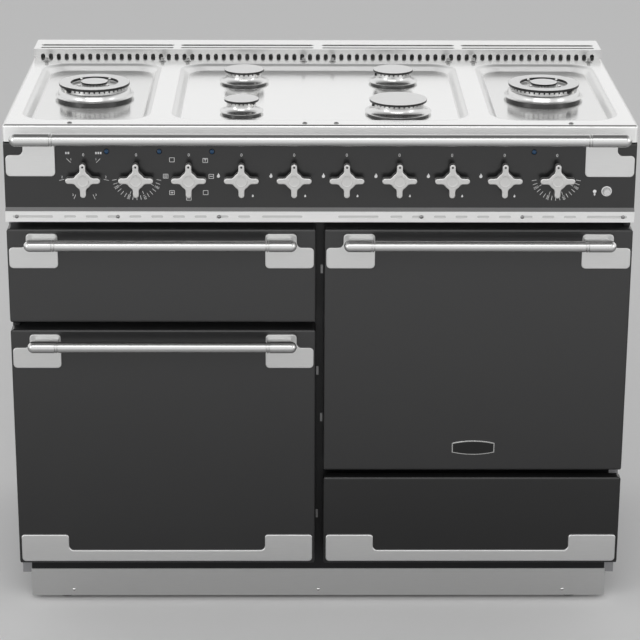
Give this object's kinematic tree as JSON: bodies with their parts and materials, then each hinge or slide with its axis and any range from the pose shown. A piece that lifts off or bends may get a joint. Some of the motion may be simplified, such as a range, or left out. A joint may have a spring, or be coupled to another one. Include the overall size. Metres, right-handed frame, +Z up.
{
  "type": "range cooker",
  "caption": "Wide range cooker with gas burners over a drop-down grill, side-hung ovens and a pull-out storage drawer, with cross-shaped knobs and bar handles.",
  "frame": {"origin": "on the floor, below the middle of the overall box", "axes": "+X to the right as a cook faces it, +Y from the front to the wall, +Z up"},
  "size_m": [1.092, 0.6575, 0.935],
  "materials": {
    "side_sheet": "satin",
    "galvanised_sheet": "matt",
    "dark_steel": "matt",
    "black_enamel": "gloss",
    "brushed_steel": "brushed",
    "black_plastic": "matt",
    "slate_enamel": "satin",
    "lens_and_ring": "gloss",
    "satin_steel": "satin",
    "deck_steel": "satin",
    "burner_metal": "satin",
    "cap_enamel": "satin",
    "brass_fittings": "satin",
    "seal_rubber": "matt",
    "oven_enamel": "gloss",
    "element_steel": "matt",
    "chrome_wire": "polished",
    "switch_plastic": "matt",
    "knob_nickel": "satin",
    "button_plastic": "gloss"
  },
  "bodies": {
    "cooker": {"side_panels": "side_sheet", "back_panel": "galvanised_sheet", "base_frame": "dark_steel", "front_frame": "black_enamel", "plinth": "brushed_steel", "front_feet": "black_plastic", "control_panel": "slate_enamel", "vent_strip": "brushed_steel", "trim_screws": "dark_steel", "panel_inserts": "lens_and_ring", "handrail": "satin_steel", "hotplate": "deck_steel", "rear_vent_trim": "deck_steel", "burner_bases": "burner_metal", "burner_crowns": "burner_metal", "burner_caps": "cap_enamel", "gas_rail": "brass_fittings", "door_hinges": "dark_steel", "door_seals": "seal_rubber", "grill_liner": "oven_enamel", "left_oven_liner": "oven_enamel", "right_oven_liner": "oven_enamel", "heating_elements": "element_steel", "fan_mounts": "galvanised_sheet", "oven_shelves": "chrome_wire", "grill_pan": "oven_enamel", "control_switches": "switch_plastic"},
    "rear_rollers": {"rear_rollers": "black_plastic"},
    "left_fan": {"left_fan": "galvanised_sheet"},
    "right_fan": {"right_fan": "galvanised_sheet"},
    "grill_knob": {"grill_knob": "knob_nickel"},
    "left_oven_heat_knob": {"left_oven_heat_knob": "knob_nickel"},
    "left_oven_function_knob": {"left_oven_function_knob": "knob_nickel"},
    "right_oven_heat_knob": {"right_oven_heat_knob": "knob_nickel"},
    "light_button": {"light_button": "button_plastic"},
    "grill_door": {"grill_door_panel": "slate_enamel", "grill_door_liner": "oven_enamel", "grill_door_handle": "satin_steel"},
    "left_oven_door": {"left_door_panel": "slate_enamel", "left_door_liner": "oven_enamel", "left_door_handle": "satin_steel", "left_door_trim": "brushed_steel"},
    "right_oven_door": {"right_door_panel": "slate_enamel", "right_door_liner": "oven_enamel", "right_door_handle": "satin_steel"},
    "drawer": {"drawer_front": "slate_enamel", "drawer_trim": "brushed_steel", "drawer_box": "galvanised_sheet"},
    "tap_spindle_1": {"tap_spindle_1": "brass_fittings"},
    "burner_knob_1": {"burner_knob_1": "knob_nickel"},
    "tap_spindle_2": {"tap_spindle_2": "brass_fittings"},
    "burner_knob_2": {"burner_knob_2": "knob_nickel"},
    "tap_spindle_3": {"tap_spindle_3": "brass_fittings"},
    "burner_knob_3": {"burner_knob_3": "knob_nickel"},
    "tap_spindle_4": {"tap_spindle_4": "brass_fittings"},
    "burner_knob_4": {"burner_knob_4": "knob_nickel"},
    "tap_spindle_5": {"tap_spindle_5": "brass_fittings"},
    "burner_knob_5": {"burner_knob_5": "knob_nickel"},
    "tap_spindle_6": {"tap_spindle_6": "brass_fittings"},
    "burner_knob_6": {"burner_knob_6": "knob_nickel"}
  },
  "joints": [
    {"name": "tap_1_push", "type": "slide", "parent": "cooker", "child": "tap_spindle_1", "axis": [0, 1, 0], "range_m": [0, 0.003], "stiffness_N_per_m": 2500},
    {"name": "burner_knob_1_turn", "type": "hinge", "parent": "tap_spindle_1", "child": "burner_knob_1", "pos_m": [-0.13607, -0.30325, 0.824], "axis": [0, -1, 0], "range_deg": [0, 220]},
    {"name": "tap_2_push", "type": "slide", "parent": "cooker", "child": "tap_spindle_2", "axis": [0, 1, 0], "range_m": [0, 0.003], "stiffness_N_per_m": 2500},
    {"name": "burner_knob_2_turn", "type": "hinge", "parent": "tap_spindle_2", "child": "burner_knob_2", "pos_m": [-0.04536, -0.30325, 0.824], "axis": [0, -1, 0], "range_deg": [0, 220]},
    {"name": "tap_3_push", "type": "slide", "parent": "cooker", "child": "tap_spindle_3", "axis": [0, 1, 0], "range_m": [0, 0.003], "stiffness_N_per_m": 2500},
    {"name": "burner_knob_3_turn", "type": "hinge", "parent": "tap_spindle_3", "child": "burner_knob_3", "pos_m": [0.04536, -0.30325, 0.824], "axis": [0, -1, 0], "range_deg": [0, 220]},
    {"name": "tap_4_push", "type": "slide", "parent": "cooker", "child": "tap_spindle_4", "axis": [0, 1, 0], "range_m": [0, 0.003], "stiffness_N_per_m": 2500},
    {"name": "burner_knob_4_turn", "type": "hinge", "parent": "tap_spindle_4", "child": "burner_knob_4", "pos_m": [0.13607, -0.30325, 0.824], "axis": [0, -1, 0], "range_deg": [0, 220]},
    {"name": "tap_5_push", "type": "slide", "parent": "cooker", "child": "tap_spindle_5", "axis": [0, 1, 0], "range_m": [0, 0.003], "stiffness_N_per_m": 2500},
    {"name": "burner_knob_5_turn", "type": "hinge", "parent": "tap_spindle_5", "child": "burner_knob_5", "pos_m": [0.22678, -0.30325, 0.824], "axis": [0, -1, 0], "range_deg": [0, 220]},
    {"name": "tap_6_push", "type": "slide", "parent": "cooker", "child": "tap_spindle_6", "axis": [0, 1, 0], "range_m": [0, 0.003], "stiffness_N_per_m": 2500},
    {"name": "burner_knob_6_turn", "type": "hinge", "parent": "tap_spindle_6", "child": "burner_knob_6", "pos_m": [0.31749, -0.30325, 0.824], "axis": [0, -1, 0], "range_deg": [0, 220]},
    {"name": "grill_knob_turn", "type": "hinge", "parent": "cooker", "child": "grill_knob", "pos_m": [-0.4082, -0.30325, 0.824], "axis": [0, 1, 0], "range_deg": [-150, 150]},
    {"name": "left_oven_heat_knob_turn", "type": "hinge", "parent": "cooker", "child": "left_oven_heat_knob", "pos_m": [-0.31749, -0.30325, 0.824], "axis": [0, 1, 0], "range_deg": [0, 270]},
    {"name": "left_oven_function_knob_turn", "type": "hinge", "parent": "cooker", "child": "left_oven_function_knob", "pos_m": [-0.22678, -0.30325, 0.824], "axis": [0, 1, 0], "continuous": true},
    {"name": "right_oven_heat_knob_turn", "type": "hinge", "parent": "cooker", "child": "right_oven_heat_knob", "pos_m": [0.4082, -0.30325, 0.824], "axis": [0, 1, 0], "range_deg": [0, 270]},
    {"name": "light_button_push", "type": "slide", "parent": "cooker", "child": "light_button", "axis": [0, 1, 0], "range_m": [0, 0.003], "stiffness_N_per_m": 1200},
    {"name": "grill_door_drop", "type": "hinge", "parent": "cooker", "child": "grill_door", "pos_m": [-0.27637, -0.26725, 0.5675], "axis": [1, 0, 0], "range_deg": [0, 90]},
    {"name": "left_oven_door_swing", "type": "hinge", "parent": "cooker", "child": "left_oven_door", "pos_m": [-0.537, -0.25025, 0.32025], "axis": [0, 0, -1], "range_deg": [0, 105]},
    {"name": "right_oven_door_swing", "type": "hinge", "parent": "cooker", "child": "right_oven_door", "pos_m": [0.537, -0.25025, 0.50475], "axis": [0, 0, 1], "range_deg": [0, 105]},
    {"name": "drawer_pull", "type": "slide", "parent": "cooker", "child": "drawer", "axis": [0, -1, 0], "range_m": [0, 0.38]},
    {"name": "left_fan_spin", "type": "hinge", "parent": "cooker", "child": "left_fan", "pos_m": [-0.27637, 0.14575, 0.32025], "axis": [0, 1, 0], "continuous": true},
    {"name": "right_fan_spin", "type": "hinge", "parent": "cooker", "child": "right_fan", "pos_m": [0.27637, 0.14575, 0.50475], "axis": [0, 1, 0], "continuous": true},
    {"name": "rear_rollers_roll", "type": "hinge", "parent": "cooker", "child": "rear_rollers", "pos_m": [0, 0.26875, 0.025], "axis": [1, 0, 0], "continuous": true}
  ]
}
